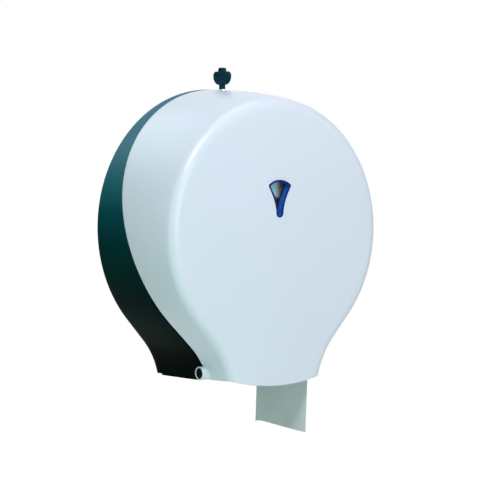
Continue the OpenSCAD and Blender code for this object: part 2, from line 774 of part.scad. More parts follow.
// Path of the tail in X and Z: off the roll on a tangent, round the bend, then straight down to its end
function leave_point(c) =
    let (r = roll_r + soft_gap + tail_t, a = atan2(c[1], c[0]) + acos(r / norm(c)))
    r * [cos(a), sin(a)];
function bezier(a, b, c, t) = lerp(lerp(a, b, t), lerp(b, c, t), t);
function unit(v) = v / norm(v);
// How far the free end's edge sags from its height at the wall side
function tail_sway(w) = 1.5 * w - 2.6 * sin(180 * sqrt(w)) * (1 - w);
function tail_path(w) =
    let (
        c = [tail_x - tail_twist * w, bend_z],
        start = leave_point(c),
        end = [c[0] - tail_lean, -case_drop - tail_hang - tail_sway(w)],
        a = c + bend * unit(start - c),
        b = c + bend * unit(end - c)
    )
    concat(
        [start, lerp(start, a, 0.5)],
        [for (i = [0:4]) bezier(a, c, b, i / 4)],
        [for (i = [1:3]) lerp(b, end, i / 3)]
    );
tail_rows = 6;
module paper_tail() {
    // Outer and inner face of the sheet at each row from the wall side to the front
    strip = [for (j = [0:tail_rows]) let (path = tail_path(j / tail_rows), n = len(path))
        [for (i = [0:n - 1])
            let (along = unit(path[min(i + 1, n - 1)] - path[max(i - 1, 0)]))
            [path[i], tail_t * [-along[1], along[0]]]]];
    n = len(strip[0]);
    row = [for (j = [0:tail_rows]) concat(
        [for (i = [0:n - 1]) let (p = strip[j][i][0]) [p[0], -lerp(roll_back, roll_front, j / tail_rows), p[1]]],
        [for (i = [n - 1:-1:0]) let (p = strip[j][i][0] - strip[j][i][1])
            [p[0], -lerp(roll_back, roll_front, j / tail_rows), p[1]]]
    )];
    color([0.62, 0.72, 0.68]) skin([for (j = [tail_rows:-1:0]) row[j]], strip = true);
}

// ---- Tear blades ----
blade_low = -case_drop + 0.2;
blade_front = hinge_depth + ear_r - blade_short;
blade_holes = [for (i = [0.25, 0.8]) [-lerp(blade_back, web_depth, i), blade_low + blade_h * 0.62]];
blade_screw_l = neck_x(hinge_z) - wall_t - ear_x;

module blade() {
    length = blade_front - blade_back;
    count = floor(length / tooth_pitch);
    side = length / count;
    difference() {
        along_x(ear_x - blade_t, ear_x) polygon(concat(
            [[-blade_back, blade_low + tooth_h], [-blade_back, blade_low + blade_h]],
            [[-blade_front, blade_low + blade_h], [-blade_front, blade_low + tooth_h]],
            [for (i = [0:count - 1]) each [
                [-blade_front + side * (i + 0.5), blade_low],
                [-blade_front + side * (i + 1), blade_low + tooth_h]]]
        ));
        for (p = blade_holes) blade_screw_head(p, run_gap);
    }
}
module blade_screw_head(p, g) {
    translate([ear_x - blade_t - eps, p[0], p[1]]) rotate([0, 90, 0])
        cylinder(r1 = small_head_r + g, r2 = small_screw_r + g, h = blade_t + 2 * eps);
}
module tear_blade_right() {
    color([0.75, 0.77, 0.8]) blade();
}
module tear_blade_left() {
    color([0.75, 0.77, 0.8]) mirror([1, 0, 0]) blade();
}
module blade_screws() {
    color([0.7, 0.72, 0.74]) both_sides() for (p = blade_holes) {
        blade_screw_head(p, 0);
        along_x(ear_x - blade_t / 2, ear_x + blade_screw_l - 0.5) translate(p) circle(small_screw_r);
    }
}

rear_housing();
front_cover();
window_lens();
window_retainer();
hinge_pin_left();
hinge_pin_right();
lock_sleeve();
lock_nut();
lock_plug();
lock_cam();
cam_screw();
key();
lock_catch();
catch_screws();
spindle();
spindle_screws();
friction_washer();
core_hub();
retaining_washer();
end_screw();
roll_core();
paper_roll();
paper_tail();
tear_blade_left();
tear_blade_right();
blade_screws();
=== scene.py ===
import math

import bmesh
import bpy
import numpy as np
from mathutils import Matrix, Vector

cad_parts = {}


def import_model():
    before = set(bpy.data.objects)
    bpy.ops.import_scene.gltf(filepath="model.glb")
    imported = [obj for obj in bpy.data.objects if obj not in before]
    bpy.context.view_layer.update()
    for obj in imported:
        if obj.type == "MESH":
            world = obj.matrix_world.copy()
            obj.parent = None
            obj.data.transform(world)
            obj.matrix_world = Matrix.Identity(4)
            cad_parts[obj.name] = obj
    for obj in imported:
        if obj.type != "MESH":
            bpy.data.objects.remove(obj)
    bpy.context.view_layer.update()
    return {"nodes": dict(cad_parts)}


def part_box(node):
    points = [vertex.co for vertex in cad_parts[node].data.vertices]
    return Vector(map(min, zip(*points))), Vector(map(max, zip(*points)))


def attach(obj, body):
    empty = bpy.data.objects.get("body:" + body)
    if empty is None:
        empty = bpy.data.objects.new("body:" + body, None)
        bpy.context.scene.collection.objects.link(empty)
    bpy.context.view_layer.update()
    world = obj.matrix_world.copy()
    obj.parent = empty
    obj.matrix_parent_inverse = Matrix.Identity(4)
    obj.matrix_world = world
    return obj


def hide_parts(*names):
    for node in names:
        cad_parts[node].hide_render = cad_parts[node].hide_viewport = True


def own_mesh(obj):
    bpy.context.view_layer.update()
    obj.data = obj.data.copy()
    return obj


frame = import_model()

nodes = frame["nodes"]
MM = 0.001


# ======== Sizes shared with the CAD model, in metres ========

HOUSING_LOW, HOUSING_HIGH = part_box("rear_housing")
CASE_R = HOUSING_HIGH.x
CASE_DEPTH = 114 * MM
DOME_H = 2 * MM
RIM_R = 9 * MM
SIDE_TAPER = 8.4 * MM
FRONT_DROP = 3 * MM
WALL_T = 2.5 * MM
PLATE_T = 3 * MM

SHOULDER_ANGLE = math.radians(42)
SHOULDER_LEN = 31 * MM
NECK_R = 76 * MM
CASE_DROP = 148.5 * MM
FRONT_BOW = 6.8 * MM
HOUSING_STEP = 1.5 * MM
BACK_STEP = 8 * MM

SEAM_TOP = 8.5 * MM
SEAM_BOTTOM = 79 * MM
SEAM_SWAY = 3.1 * MM
SEAM_GAP = 0.6 * MM
LIP_LEN = 4 * MM
LIP_T = 1.6 * MM
LIP_WALL = WALL_T + 0.9 * MM

HINGE_DEPTH = 78 * MM
HINGE_RISE = 6.5 * MM
HINGE_Z = HINGE_RISE - CASE_DROP
BARREL_R = 6.6 * MM
BARREL_END = 70.48 * MM
HOLLOW_R = 5.4 * MM
HOLLOW_L = 4.5 * MM
PIN_R = 4.0 * MM
NOTCH_R = BARREL_R + 2 * MM
EAR_X = 53.88 * MM
EAR_T = 3.5 * MM
EAR_CLEAR = 12 * MM

WALL_SPAN_X = 130 * MM
WALL_SPAN_Z = 120 * MM
WALL_HOLE_R = 2.75 * MM
WALL_PAD_R = 8 * MM
WALL_PAD_H = 2.5 * MM

LOCK_DEPTH = 23 * MM
BOSS_R = 10 * MM
BOSS_T = 5.5 * MM
SLEEVE_R = 7.15 * MM
SLEEVE_RIM_R = 8.35 * MM
SLEEVE_RIM_H = 0.6 * MM

KEY_W = 24 * MM
KEY_H = 14 * MM
KEY_T = 5.6 * MM
KEY_DISH = 0.9 * MM
KEY_SHANK_R = 3.2 * MM
KEY_SLOT_W = 1.8 * MM
EYELET_R = 2.7 * MM
EYELET_HOLE_R = 1.4 * MM
EYELET_W = 7 * MM

WINDOW_Z = 29 * MM
WINDOW_H = 37 * MM
WINDOW_W = 29 * MM
WINDOW_TIP_W = 8.5 * MM
WINDOW_T = 1.8 * MM
WINDOW_FLANGE = 2 * MM
WINDOW_FLANGE_T = 1.5 * MM
SET_GAP = 0.15 * MM

TAIL_X = EAR_X - 1.9 * MM
TAIL_TWIST = 6 * MM
TAIL_LEAN = 3 * MM
TAIL_HANG = 56 * MM
TAIL_T = 0.4 * MM
TAIL_SWAY = 2.6 * MM
TAIL_DIP = 1.5 * MM
TAIL_WAVE = 0.25 * MM
SOFT_GAP = 0.3 * MM
BEND = 18 * MM
BLADE_H = 7 * MM

EDGE_R = 0.5 * MM  # rounding of the moulded edges
BACK_R = 0.6 * MM  # rounding of the housing's edge at the wall
HOLD = 0.6 * MM  # flat strip round a large face, which keeps its shading even
PANE_SHADE_X = (0, 5 * MM)  # painted shade darkens the pane across this stretch of its width
PANE_SHADE_Z = (32 * MM, 29 * MM)  # and below this stretch of its height
WINDOW_CORNER = 1.8 * MM  # how far from the window's shoulders their rounding starts


# ======== Form of the case ========

ARC_LEN = CASE_R * (math.pi / 2 + SHOULDER_ANGLE)
SHOULDER_END = ARC_LEN + SHOULDER_LEN
NECK_END = SHOULDER_END + NECK_R * SHOULDER_ANGLE
TRIM = 14 * MM
shoulder_from = CASE_R * np.array([math.cos(SHOULDER_ANGLE), -math.sin(SHOULDER_ANGLE)])
shoulder_way = -np.array([math.sin(SHOULDER_ANGLE), math.cos(SHOULDER_ANGLE)])
neck_centre = (shoulder_from + SHOULDER_LEN * shoulder_way
               + NECK_R * np.array([math.cos(SHOULDER_ANGLE), -math.sin(SHOULDER_ANGLE)]))


def outline(u):
    """Right half of the case at the wall: place and outward normal at a length u from the top."""
    u = np.asarray(u, float)
    a = math.pi / 2 - u / CASE_R
    s = u - ARC_LEN
    b = math.pi - SHOULDER_ANGLE + (u - SHOULDER_END) / NECK_R
    where = [u <= ARC_LEN, u <= SHOULDER_END, u <= NECK_END]
    x = np.select(where, [CASE_R * np.cos(a), shoulder_from[0] + s * shoulder_way[0],
                          neck_centre[0] + NECK_R * np.cos(b)], neck_centre[0] - NECK_R)
    z = np.select(where, [CASE_R * np.sin(a), shoulder_from[1] + s * shoulder_way[1],
                          neck_centre[1] + NECK_R * np.sin(b)], neck_centre[1] - (u - NECK_END))
    nx = np.select(where, [np.cos(a), math.cos(SHOULDER_ANGLE) + 0 * u, -np.cos(b)], 1.0)
    nz = np.select(where, [np.sin(a), -math.sin(SHOULDER_ANGLE) + 0 * u, -np.sin(b)], 0.0)
    return x, z, nx, nz


def neck_x(z):
    return neck_centre[0] - math.sqrt(NECK_R ** 2 - (neck_centre[1] - z) ** 2)


def taper(d):
    return SIDE_TAPER * (d / CASE_DEPTH) ** 3


def drop(d):
    return FRONT_DROP * d / CASE_DEPTH


def seam(z):
    """Depth of the parting line between housing and cover at a height."""
    u = np.clip((CASE_R - z) / (CASE_R - HINGE_Z), 0, 1)
    sway = SEAM_SWAY * (np.sin(math.pi * u) - np.sin(2 * math.pi * u))
    return SEAM_TOP + (SEAM_BOTTOM - SEAM_TOP) * u + sway


def place(u, depth, inset):
    """Points on the case at lengths u of the outline, at a depth and an inset, which may vary along it."""
    x, z, nx, nz = outline(u)
    d = depth + 0 * x
    w = inset + 0 * x
    return np.stack([x - nx * w, -d, z - nz * w - drop(d)], axis=1)


HALF_LEN = NECK_END + TRIM


# ======== Mesh helpers ========

def new_object(name, points, faces):
    mesh = bpy.data.meshes.new(name)
    mesh.from_pydata([tuple(p) for p in points], [], faces)
    mesh.update()
    ob = bpy.data.objects.new(name, mesh)
    bpy.context.scene.collection.objects.link(ob)
    return ob


def face_outwards(ob):
    bm = bmesh.new()
    bm.from_mesh(ob.data)
    bmesh.ops.recalc_face_normals(bm, faces=bm.faces)
    bm.to_mesh(ob.data)
    bm.free()
    return ob


def applied(ob):
    """The object with its modifiers applied."""
    bpy.context.view_layer.update()
    depsgraph = bpy.context.evaluated_depsgraph_get()
    mesh = bpy.data.meshes.new_from_object(ob.evaluated_get(depsgraph))
    ob.modifiers.clear()
    old = ob.data
    ob.data = mesh
    bpy.data.meshes.remove(old)
    ob.data.name = ob.name
    return ob


def cut(ob, tools, operation="DIFFERENCE"):
    """Joins or cuts with each of the tools, which are used up."""
    for tool in tools:
        mod = ob.modifiers.new("cut", "BOOLEAN")
        mod.operation = operation
        mod.object = tool
        mod.solver = "MANIFOLD"
        applied(ob)
        bpy.data.objects.remove(tool)
    return ob


def smooth(ob, angle=35):
    ob.data.shade_smooth()
    ob.data.set_sharp_from_angle(angle=math.radians(angle))
    return ob


def skin(name, rings, closed=True, caps=True):
    """A mesh through rings of equal length; caps close its first and last ring."""
    n = len(rings[0])
    points = np.concatenate(rings)
    faces = []
    for k in range(len(rings) - 1):
        for i in range(n if closed else n - 1):
            j = (i + 1) % n
            faces.append((k * n + i, (k + 1) * n + i, (k + 1) * n + j, k * n + j))
    if caps:
        faces.append(tuple(range(n)))
        last = (len(rings) - 1) * n
        faces.append(tuple(last + i for i in reversed(range(n))))
    return face_outwards(new_object(name, points, faces))


def prism(name, loop, low, high, axis):
    """A solid on a flat loop: of (x, z) for axis 'y', where low and high are depths, or (y, z) for 'x'."""
    loop = np.asarray(loop, float)
    a, b = loop[:, 0], loop[:, 1]
    if axis == "y":
        rings = [np.stack([a, 0 * a - t, b], axis=1) for t in (low, high)]
    elif axis == "x":
        rings = [np.stack([0 * a + t, a, b], axis=1) for t in (low, high)]
    else:
        rings = [np.stack([a, b, 0 * a + t], axis=1) for t in (low, high)]
    return skin(name, rings)


def circle(r, centre=(0, 0), steps=96):
    a = np.linspace(0, 2 * math.pi, steps, endpoint=False)
    return np.stack([centre[0] + r * np.cos(a), centre[1] + r * np.sin(a)], axis=1)


def box_loop(x0, y0, x1, y1):
    return np.array([[x0, y0], [x1, y0], [x1, y1], [x0, y1]])


def turned(name, profile, axis, centre=(0, 0, 0), steps=128):
    """A solid of revolution: profile is a closed loop of (distance along the axis, radius)."""
    t = np.linspace(0, 2 * math.pi, steps, endpoint=False)
    profile = np.asarray(profile, float)
    rings = []
    for a in t:
        along, r = profile[:, 0], profile[:, 1]
        c, s = r * math.cos(a), r * math.sin(a)
        if axis == "y":
            p = [c, along, s]
        elif axis == "x":
            p = [along, c, s]
        else:
            p = [c, s, along]
        rings.append(np.stack(p, axis=1) + np.asarray(centre))
    n = len(profile)
    points = np.concatenate(rings)
    faces = []
    for k in range(steps):
        m = (k + 1) % steps
        for i in range(n):
            j = (i + 1) % n
            faces.append((k * n + i, m * n + i, m * n + j, k * n + j))
    return face_outwards(new_object(name, points, faces))


def rounded(points, r, steps=4):
    """The profile with each corner cut by a round of radius r, or a smaller one where the sides are short."""
    points = [np.asarray(p, float) for p in points]
    out = []
    for i, p in enumerate(points):
        a, b = points[i - 1], points[(i + 1) % len(points)]
        ea, eb = a - p, b - p
        la, lb = np.linalg.norm(ea), np.linalg.norm(eb)
        k = min(r, 0.45 * la, 0.45 * lb)
        pa, pb = p + ea / la * k, p + eb / lb * k
        for j in range(steps + 1):
            t = j / steps
            out.append((1 - t) ** 2 * pa + 2 * t * (1 - t) * p + t ** 2 * pb)
    return out


# ======== Materials ========

def material(name):
    mat = bpy.data.materials.new(name)
    mat.use_nodes = True
    tree = mat.node_tree
    tree.nodes.clear()
    out = tree.nodes.new("ShaderNodeOutputMaterial")
    shader = tree.nodes.new("ShaderNodeBsdfPrincipled")
    tree.links.new(shader.outputs["BSDF"], out.inputs["Surface"])
    return mat, tree, shader


def noise(tree, scale, detail=3.0, stretch=(1, 1, 1)):
    """Noise in the part's own frame, at a scale in cycles per metre."""
    coord = tree.nodes.new("ShaderNodeTexCoord")
    mapping = tree.nodes.new("ShaderNodeMapping")
    mapping.inputs["Scale"].default_value = stretch
    tree.links.new(coord.outputs["Object"], mapping.inputs["Vector"])
    tex = tree.nodes.new("ShaderNodeTexNoise")
    tex.inputs["Scale"].default_value = scale
    tex.inputs["Detail"].default_value = detail
    tree.links.new(mapping.outputs["Vector"], tex.inputs["Vector"])
    return tex.outputs["Fac"]


def mapped(tree, value, low, high):
    """The value, which runs from 0 to 1, spread from low to high."""
    node = tree.nodes.new("ShaderNodeMapRange")
    node.inputs["From Min"].default_value = 0.3
    node.inputs["From Max"].default_value = 0.7
    node.inputs["To Min"].default_value = low
    node.inputs["To Max"].default_value = high
    tree.links.new(value, node.inputs["Value"])
    return node.outputs["Result"]


def two_tone(tree, value, a, b):
    node = tree.nodes.new("ShaderNodeMix")
    node.data_type = "RGBA"
    node.inputs["A"].default_value = (*a, 1)
    node.inputs["B"].default_value = (*b, 1)
    tree.links.new(value, node.inputs["Factor"])
    return node.outputs["Result"]


def bump(tree, shader, height, strength, distance):
    node = tree.nodes.new("ShaderNodeBump")
    node.inputs["Strength"].default_value = strength
    node.inputs["Distance"].default_value = distance
    tree.links.new(height, node.inputs["Height"])
    tree.links.new(node.outputs["Normal"], shader.inputs["Normal"])


def plastic(name, colour, shade, rough, grain=900.0, relief=0.02 * MM, gloss=0.5, tint=(1, 1, 1)):
    """Moulded plastic: colour drifts a little to shade, and a fine grain roughens it."""
    mat, tree, shader = material(name)
    drift = noise(tree, 9, 2)
    tree.links.new(two_tone(tree, mapped(tree, drift, 0, 1), colour, shade), shader.inputs["Base Color"])
    fine = noise(tree, grain, 4)
    tree.links.new(mapped(tree, fine, rough * 0.85, rough * 1.15), shader.inputs["Roughness"])
    bump(tree, shader, fine, 0.35, relief)
    shader.inputs["IOR"].default_value = 1.5
    shader.inputs["Specular IOR Level"].default_value = gloss
    shader.inputs["Specular Tint"].default_value = (*tint, 1)
    return mat


def paint_light_by_height(mat, stops):
    """Paints light and shade into the colour by height: a painted sheen makes it lighter at the top and painted
    shade makes it darker towards the bottom; stops are (height, colour) from the lowest to the highest.
    """
    tree = mat.node_tree
    shader = next(n for n in tree.nodes if n.type == "BSDF_PRINCIPLED")
    coord = tree.nodes.new("ShaderNodeTexCoord")
    split = tree.nodes.new("ShaderNodeSeparateXYZ")
    tree.links.new(coord.outputs["Object"], split.inputs["Vector"])
    low, high = stops[0][0], stops[-1][0]
    share = tree.nodes.new("ShaderNodeMapRange")
    share.inputs["From Min"].default_value = low
    share.inputs["From Max"].default_value = high
    tree.links.new(split.outputs["Z"], share.inputs["Value"])
    # Painted light: this ramp is lighter at the top as sheen and darker below as shade
    ramp = tree.nodes.new("ShaderNodeValToRGB")
    while len(ramp.color_ramp.elements) < len(stops):
        ramp.color_ramp.elements.new(0.5)
    for element, (height, colour) in zip(ramp.color_ramp.elements, stops):
        element.position = (height - low) / (high - low)
        element.color = (*colour, 1)
    tree.links.new(share.outputs["Result"], ramp.inputs["Fac"])
    drift = noise(tree, 9, 2)
    tone = tree.nodes.new("ShaderNodeMix")
    tone.data_type = "RGBA"
    tone.blend_type = "MULTIPLY"
    tone.inputs["Factor"].default_value = 1.0
    tree.links.new(ramp.outputs["Color"], tone.inputs["A"])
    grey = mapped(tree, drift, 1.0, 0.88)
    tree.links.new(grey, tone.inputs["B"])
    tree.links.new(tone.outputs["Result"], shader.inputs["Base Color"])
    return mat


def metal(name, colour, rough, stretch=(1, 1, 1), relief=0.01 * MM):
    mat, tree, shader = material(name)
    streaks = noise(tree, 700, 5, stretch)
    tone = [0.82 * c for c in colour]
    tree.links.new(two_tone(tree, mapped(tree, streaks, 0, 1), tone, colour), shader.inputs["Base Color"])
    tree.links.new(mapped(tree, streaks, rough * 1.3, rough * 0.7), shader.inputs["Roughness"])
    bump(tree, shader, streaks, 0.3, relief)
    shader.inputs["Metallic"].default_value = 1.0
    return mat


cover_mat = plastic("cover_white", (0.73, 0.86, 0.90), (0.72, 0.85, 0.89), 0.32)
housing_mat = plastic("housing_dark", (0.001, 0.04, 0.04), (0.001, 0.036, 0.036), 0.42, 1400, 0.03 * MM,
                      gloss=0.006, tint=(0.1, 0.8, 0.9))
# Painted light on the housing: a sheen at its top and shade towards its bottom, set in the colour by height
paint_light_by_height(housing_mat, [(-125 * MM, (0.0002, 0.003, 0.002)), (-105 * MM, (0.0003, 0.010, 0.006)),
                       (-75 * MM, (0.0003, 0.012, 0.010)), (-45 * MM, (0.0003, 0.027, 0.023)),
                       (-15 * MM, (0.0004, 0.042, 0.043)), (15 * MM, (0.003, 0.076, 0.086)),
                       (46 * MM, (0.022, 0.155, 0.172)), (80 * MM, (0.085, 0.235, 0.285))])
hub_mat = plastic("hub_dark", (0.010, 0.020, 0.020), (0.008, 0.016, 0.016), 0.5, 1200, gloss=0.1)
key_mat = plastic("key_teal", (0.001, 0.040, 0.060), (0.002, 0.046, 0.070), 0.22, 1500, gloss=0.04,
                  tint=(0.4, 0.9, 1.0))
ring_mat = plastic("ring_white", (0.75, 0.80, 0.82), (0.72, 0.78, 0.80), 0.4)
nylon_mat = plastic("nylon", (0.72, 0.69, 0.60), (0.70, 0.66, 0.57), 0.5)
black_mat = plastic("pin_black", (0.003, 0.003, 0.003), (0.004, 0.004, 0.004), 0.5, gloss=0.02)
steel_mat = metal("steel", (0.62, 0.63, 0.65), 0.32)
blade_mat = metal("blade_steel", (0.66, 0.67, 0.69), 0.24, stretch=(1, 0.1, 1))
chrome_mat = metal("chrome", (0.85, 0.86, 0.88), 0.12, relief=0.003 * MM)


def spread(tree, value, low, high, to_low=0.0, to_high=1.0):
    """The value from low to high, spread from to_low to to_high and held beyond."""
    node = tree.nodes.new("ShaderNodeMapRange")
    for name, v in (("From Min", low), ("From Max", high), ("To Min", to_low), ("To Max", to_high)):
        node.inputs[name].default_value = v
    tree.links.new(value, node.inputs["Value"])
    return node.outputs["Result"]


def tinted(name, pane_depth, front, tones):
    """Blue plastic: a clear pane, pale at the upper left and darkened beyond by painted shade, with blue walls
    and a dark rim.
    """
    mat, tree, shader = material(name)
    coord = tree.nodes.new("ShaderNodeTexCoord")
    split = tree.nodes.new("ShaderNodeSeparateXYZ")
    tree.links.new(coord.outputs["Object"], split.inputs["Vector"])
    shaded = tree.nodes.new("ShaderNodeMath")
    shaded.operation = "MAXIMUM"
    tree.links.new(spread(tree, split.outputs["X"], *PANE_SHADE_X), shaded.inputs[0])
    tree.links.new(spread(tree, split.outputs["Z"], *PANE_SHADE_Z), shaded.inputs[1])
    # The pane's deep tone is painted shade, for the dark inside of the case seen through it
    pane = two_tone(tree, shaded.outputs[0], tones["pale"], tones["deep"])
    # The tray's front band is painted darker than its walls, as shade on one blue plastic
    edge = spread(tree, split.outputs["Y"], -front + 1.6 * MM, -front + 0.6 * MM)
    wall = two_tone(tree, edge, tones["wall"], tones["rim"])
    beyond = spread(tree, split.outputs["Y"], -pane_depth, -pane_depth - 0.8 * MM)
    tone = tree.nodes.new("ShaderNodeMix")
    tone.data_type = "RGBA"
    tree.links.new(beyond, tone.inputs["Factor"])
    tree.links.new(pane, tone.inputs["A"])
    tree.links.new(wall, tone.inputs["B"])
    tree.links.new(tone.outputs["Result"], shader.inputs["Base Color"])
    clear = spread(tree, split.outputs["Y"], -pane_depth, -pane_depth - 0.8 * MM, 0.72, 0.3)
    tree.links.new(clear, shader.inputs["Transmission Weight"])
    fine = noise(tree, 600, 3)
    tree.links.new(mapped(tree, fine, 0.03, 0.08), shader.inputs["Roughness"])
    shader.inputs["IOR"].default_value = 1.46
    shader.inputs["Specular IOR Level"].default_value = 0.05
    return mat


def paper(name, colour, shade, rings=False):
    """Soft tissue: a fine crepe, and on the roll's ends the edges of its layers."""
    mat, tree, shader = material(name)
    drift = noise(tree, 25, 3)
    tree.links.new(two_tone(tree, mapped(tree, drift, 0, 1), colour, shade), shader.inputs["Base Color"])
    crepe = noise(tree, 420, 5, (1, 1, 2.5))
    if rings:
        wave = tree.nodes.new("ShaderNodeTexWave")
        wave.wave_type = "RINGS"
        wave.rings_direction = "Y"
        wave.inputs["Scale"].default_value = 260
        wave.inputs["Distortion"].default_value = 1.5
        coord = tree.nodes.new("ShaderNodeTexCoord")
        tree.links.new(coord.outputs["Object"], wave.inputs["Vector"])
        both = tree.nodes.new("ShaderNodeMath")
        both.operation = "MULTIPLY_ADD"
        both.inputs[1].default_value = 0.6
        tree.links.new(wave.outputs["Fac"], both.inputs[0])
        tree.links.new(crepe, both.inputs[2])
        crepe = both.outputs[0]
    bump(tree, shader, crepe, 0.5, 0.06 * MM)
    shader.inputs["Roughness"].default_value = 0.85
    shader.inputs["Sheen Weight"].default_value = 0.15
    return mat


# deep is painted shade on the pane
window_mat = tinted("window_blue", 110.6 * MM, 116.58 * MM,
                    {"pale": (0.46, 0.88, 0.95), "deep": (0.002, 0.008, 0.02),
                     "wall": (0.01, 0.21, 0.86), "rim": (0.005, 0.012, 0.20)})
paper_mat = paper("tissue", (0.82, 0.92, 0.89), (0.79, 0.89, 0.86))
roll_mat = paper("tissue_roll", (0.86, 0.88, 0.86), (0.83, 0.86, 0.84), rings=True)
card_mat = plastic("card", (0.30, 0.27, 0.21), (0.26, 0.23, 0.18), 0.8, 500, 0.05 * MM)


def dress(ob, mat):
    ob.data.materials.clear()
    ob.data.materials.append(mat)
    return ob


# ======== Front cover ========

HALF_COLUMNS = 130
BOW_COLUMNS = 40
rim_start = math.atan(2 * DOME_H / (CASE_R - SIDE_TAPER - RIM_R))  # where the rim meets the dome's slope
dome_inset = SIDE_TAPER + RIM_R * (1 - math.sin(rim_start))
dome_edge = CASE_DEPTH - RIM_R * (1 - math.cos(rim_start))
dome_centre = np.array([0, -FRONT_DROP])

bow_half = neck_x(-CASE_DROP) - SIDE_TAPER
bow_r = (bow_half ** 2 + FRONT_BOW ** 2) / (2 * FRONT_BOW)


def cover_floor(x):
    """Height of the cover's bottom edge: straight at the sides, bowed in front."""
    x = np.abs(x)
    bow = bow_r - CASE_DROP - FRONT_BOW - np.sqrt(bow_r ** 2 - np.minimum(x, bow_half) ** 2)
    return np.where(x < bow_half, bow, -CASE_DROP)


def cover_row(depth, inset):
    """One row of the cover from its left bottom edge over the top to its right one. depth may depend on z."""
    def at(u):
        d = depth(outline(u)[1]) if callable(depth) else depth
        return place(u, d, taper(d) + inset)
    dense = np.linspace(0, HALF_LEN, 4000)
    p = at(dense)
    below = p[:, 2] - cover_floor(p[:, 0])
    k = int(np.argmax(below < 0))
    end = np.interp(0, [below[k], below[k - 1]], [dense[k], dense[k - 1]])
    right = at(np.linspace(0, end, HALF_COLUMNS + 1))
    left = right[:0:-1] * [-1, 1, 1]
    return np.concatenate([left, right])


def rim_row(a):
    d = CASE_DEPTH - RIM_R + RIM_R * math.cos(a)
    return cover_row(d, RIM_R * (1 - math.sin(a)))


def side_row(s):
    return cover_row(lambda z: (CASE_DEPTH - RIM_R) * (1 - s) + (seam(z) + SEAM_GAP) * s, 0)


def dome_reach():
    """Angle and distance, about the dome's centre, of the closed line at which the dome's height is nil."""
    p = place(np.linspace(0, HALF_LEN, 1500), dome_edge, taper(dome_edge) + dome_inset - SIDE_TAPER)
    end = p[-1]
    a = np.linspace(0, math.pi / 2, 300)[1:]
    arc = np.stack([end[0] * np.cos(a), 0 * a, end[2] - end[0] * np.sin(a)], axis=1)
    q = np.concatenate([p, arc])[:, [0, 2]] - dome_centre
    return np.arctan2(q[:, 0], q[:, 1]), np.hypot(q[:, 0], q[:, 1])


reach_angle, reach = dome_reach()


def dome_depth(x, z):
    q = np.stack([np.abs(x), z], axis=1) - dome_centre
    t = np.hypot(q[:, 0], q[:, 1]) / np.interp(np.arctan2(q[:, 0], q[:, 1]), reach_angle, reach)
    return dome_edge + DOME_H * (1 - t ** 2)


def cover_sheet():
    """The cover's outer surface as one sheet, from its back edge to the middle of its front."""
    rows = [side_row(s) for s in np.linspace(1, 0, 16)]
    rows += [rim_row(a) for a in np.linspace(math.pi / 2, rim_start, 12)[1:]]
    n = len(rows[0])
    points = list(np.concatenate(rows))
    faces = []
    for k in range(len(rows) - 1):
        for i in range(n - 1):
            faces.append((k * n + i, k * n + i + 1, (k + 1) * n + i + 1, (k + 1) * n + i))
    # The front: loops that shrink from the rim and the bowed bottom edge to the middle
    edge = rows[-1]
    x = np.linspace(edge[-1][0], edge[0][0], BOW_COLUMNS + 1)[1:-1]
    bow = np.stack([x, 0 * x, cover_floor(x)], axis=1)
    loop = np.concatenate([edge, bow])
    m = len(loop)
    start = (len(rows) - 1) * n
    before = None
    for t in [*np.linspace(1, 0.94, 4), *np.linspace(0.9, 0.05, 22)]:
        q = dome_centre + t * (loop[:, [0, 2]] - dome_centre)
        ring = np.stack([q[:, 0], -dome_depth(q[:, 0], q[:, 1]), q[:, 1]], axis=1)
        if before is None:
            now = list(range(start, start + n)) + list(range(len(points), len(points) + m - n))
            points += list(ring[n:])
        else:
            now = list(range(len(points), len(points) + m))
            points += list(ring)
            for i in range(m):
                j = (i + 1) % m
                faces.append((before[i], before[j], now[j], now[i]))
        before = now
    points.append(np.array([0, -dome_depth(np.array([0.0]), np.array([-FRONT_DROP]))[0], -FRONT_DROP]))
    for i in range(m):
        faces.append((before[i], before[(i + 1) % m], len(points) - 1))
    ob = new_object("cover_shell", points, faces)
    # Normals point out of the case
    if ob.data.polygons[-1].normal.y > 0:
        ob.data.flip_normals()
    return ob


def lock_top():
    return CASE_R - taper(LOCK_DEPTH) - drop(LOCK_DEPTH)


def window_loop(g, steps=14):
    """The window's outline, (x, z) from the tip up the right side, grown by g."""
    tip, half = WINDOW_TIP_W / 2, WINDOW_W / 2
    rise = WINDOW_H / 7
    top_r = (half ** 2 + rise ** 2) / (2 * rise)
    side_h = WINDOW_H - rise - tip
    spread = math.asin((half + g) / (top_r + g))
    low = WINDOW_Z - WINDOW_H / 2
    right = [((tip + g) * math.sin(a), tip - (tip + g) * math.cos(a))
             for a in np.linspace(0, math.pi / 2, steps)]
    side_end = 1 - WINDOW_CORNER / side_h
    side = [(tip + (half - tip) * t ** 1.7 + g, tip + side_h * t)
            for t in np.linspace(0, side_end, steps + 1)[1:]]
    top = [((top_r + g) * math.sin(a), WINDOW_H - top_r + (top_r + g) * math.cos(a))
           for a in np.linspace(spread - WINDOW_CORNER / top_r, 0, steps)]
    corner = np.array([half + g, tip + side_h])
    turn = [(1 - t) ** 2 * np.array(side[-1]) + 2 * t * (1 - t) * corner + t ** 2 * np.array(top[0])
            for t in np.linspace(0, 1, 6)[1:-1]]
    right += [*side, *map(tuple, turn), *top]
    right = np.array(right) + [0, low]
    left = right[-2:0:-1] * [-1, 1]
    return np.concatenate([right, left])


